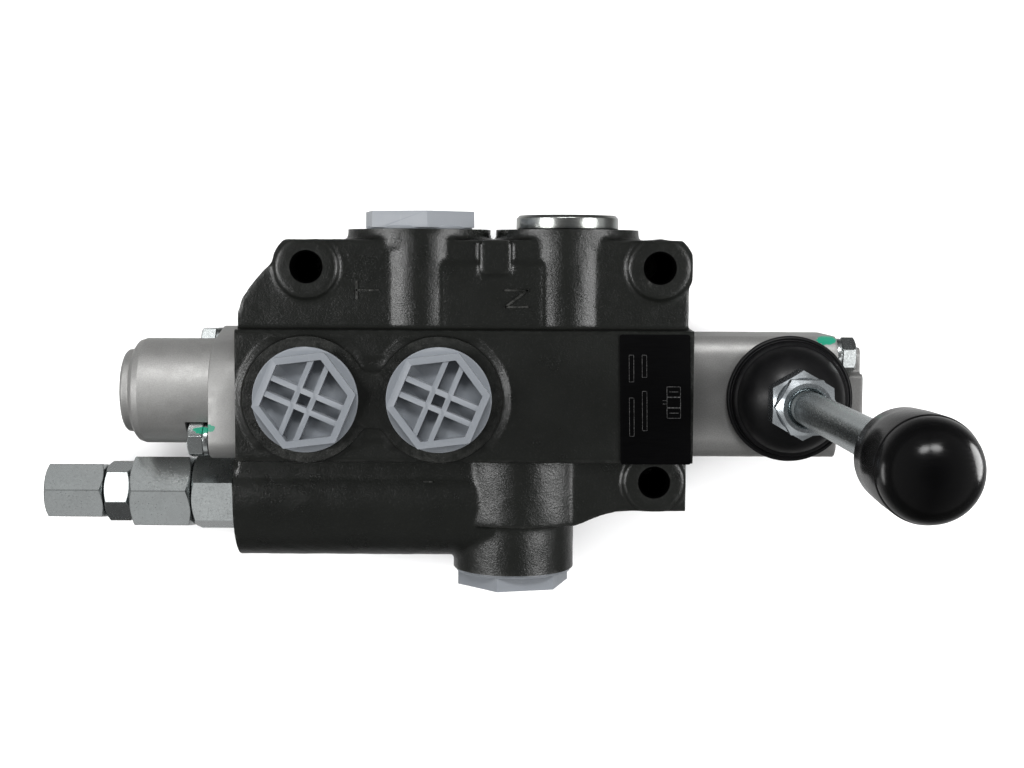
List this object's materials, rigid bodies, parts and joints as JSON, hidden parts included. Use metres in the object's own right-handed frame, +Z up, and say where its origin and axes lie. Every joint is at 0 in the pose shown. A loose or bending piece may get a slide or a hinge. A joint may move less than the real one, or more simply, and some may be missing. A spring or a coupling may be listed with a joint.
{
  "type": "hydraulic monoblock valve",
  "caption": "Hand-lever spool valve in a cast monoblock body, with spring centring, relief valve, load check and plugged ports.",
  "frame": {"origin": "on the mounting base, straight below the spool axis, at the middle of the cast body's length", "axes": "+X along the spool toward the hand lever, +Y toward the tank and carry-over ports, +Z up out of the work ports, along the lever"},
  "size_m": [0.2607, 0.12, 0.2275],
  "materials": {
    "cast_body": "black phosphated casting",
    "die_cast": "as-cast",
    "zinc_steel": "zinc plated",
    "ground_steel": "ground",
    "spring_steel": "dark",
    "blue_grey_plastic": "moulded",
    "black_rubber": "semi-gloss",
    "knob_plastic": "gloss",
    "plate_black": "printed film",
    "nylon": "natural"
  },
  "bodies": {
    "valve": {"ball_socket_lower": "nylon", "ball_socket_upper": "nylon", "cap_screw_1": "zinc_steel", "cap_screw_2": "zinc_steel", "cap_spring_washer_1": "zinc_steel", "cap_spring_washer_2": "zinc_steel", "carry_over_plug": "zinc_steel", "carry_over_seal": "black_rubber", "centering_spring": "spring_steel", "housing_screw_1": "zinc_steel", "housing_screw_2": "zinc_steel", "housing_spring_washer_1": "zinc_steel", "housing_spring_washer_2": "zinc_steel", "label_plate": "plate_black", "lever_boot": "black_rubber", "lever_housing": "die_cast", "load_check_plug": "zinc_steel", "load_check_spring": "spring_steel", "port_plug_a": "blue_grey_plastic", "port_plug_b": "blue_grey_plastic", "port_plug_p": "blue_grey_plastic", "port_plug_t": "blue_grey_plastic", "relief_bonnet": "zinc_steel", "relief_cap_nut": "zinc_steel", "relief_cartridge": "zinc_steel", "relief_jam_nut": "zinc_steel", "relief_seal_ring": "black_rubber", "relief_spring": "spring_steel", "seal_retainer_left": "zinc_steel", "seal_retainer_right": "zinc_steel", "snap_ring": "spring_steel", "spool_seal_left": "black_rubber", "spool_seal_right": "black_rubber", "spring_cap": "die_cast", "valve_body": "cast_body"},
    "lever": {"lever_ball_stud": "zinc_steel", "lever_jam_nut": "zinc_steel", "lever_rod": "zinc_steel", "lever_knob": "knob_plastic"},
    "spool": {"spool": "ground_steel", "spool_end_bolt": "ground_steel"},
    "relief_poppet": {"relief_poppet": "ground_steel"},
    "relief_button": {"relief_spring_button": "ground_steel"},
    "relief_screw": {"relief_adjust_screw": "ground_steel"},
    "load_check": {"load_check_poppet": "ground_steel"},
    "seat_inner": {"spring_seat_inner": "zinc_steel"},
    "seat_outer": {"spring_seat_outer": "zinc_steel"}
  },
  "joints": [
    {"name": "lever_pivot", "type": "hinge", "parent": "valve", "child": "lever", "pos_m": [0.1, 0, 0.0535], "axis": [0, 1, 0], "range_deg": [-20, 20], "stiffness_Nm_per_rad": 6, "deforming": ["lever_boot"]},
    {"name": "spool_slide", "type": "slide", "parent": "valve", "child": "spool", "axis": [1, 0, 0], "range_m": [-0.0072, 0.0072], "deforming": ["centering_spring", "spring_seat_inner", "spring_seat_outer"]},
    {"name": "seat_inner_slide", "type": "slide", "parent": "valve", "child": "seat_inner", "axis": [-1, 0, 0], "range_m": [0, 0.0071], "stiffness_N_per_m": 1500},
    {"name": "seat_outer_slide", "type": "slide", "parent": "valve", "child": "seat_outer", "axis": [1, 0, 0], "range_m": [0, 0.0071], "stiffness_N_per_m": 1500},
    {"name": "relief_poppet_slide", "type": "slide", "parent": "valve", "child": "relief_poppet", "axis": [-1, 0, 0], "range_m": [0, 0.0015], "stiffness_N_per_m": 1500, "deforming": ["relief_spring"]},
    {"name": "relief_adjust_feed", "type": "slide", "parent": "valve", "child": "relief_button", "axis": [1, 0, 0], "range_m": [-0.001, 0.001]},
    {"name": "relief_adjust_turn", "type": "hinge", "parent": "relief_button", "child": "relief_screw", "pos_m": [-0.047, -0.0332, 0.0294], "axis": [1, 0, 0], "range_deg": [-361, 361]},
    {"name": "load_check_slide", "type": "slide", "parent": "valve", "child": "load_check", "axis": [0, 0, -1], "range_m": [0, 0.0035], "stiffness_N_per_m": 1500, "deforming": ["load_check_spring"]}
  ],
  "couplings": [
    {"joint": "spool_slide", "follows": "lever_pivot", "m_per_rad": -0.0203},
    {"joint": "relief_adjust_turn", "follows": "relief_adjust_feed", "rad_per_m": 6283.2}
  ]
}
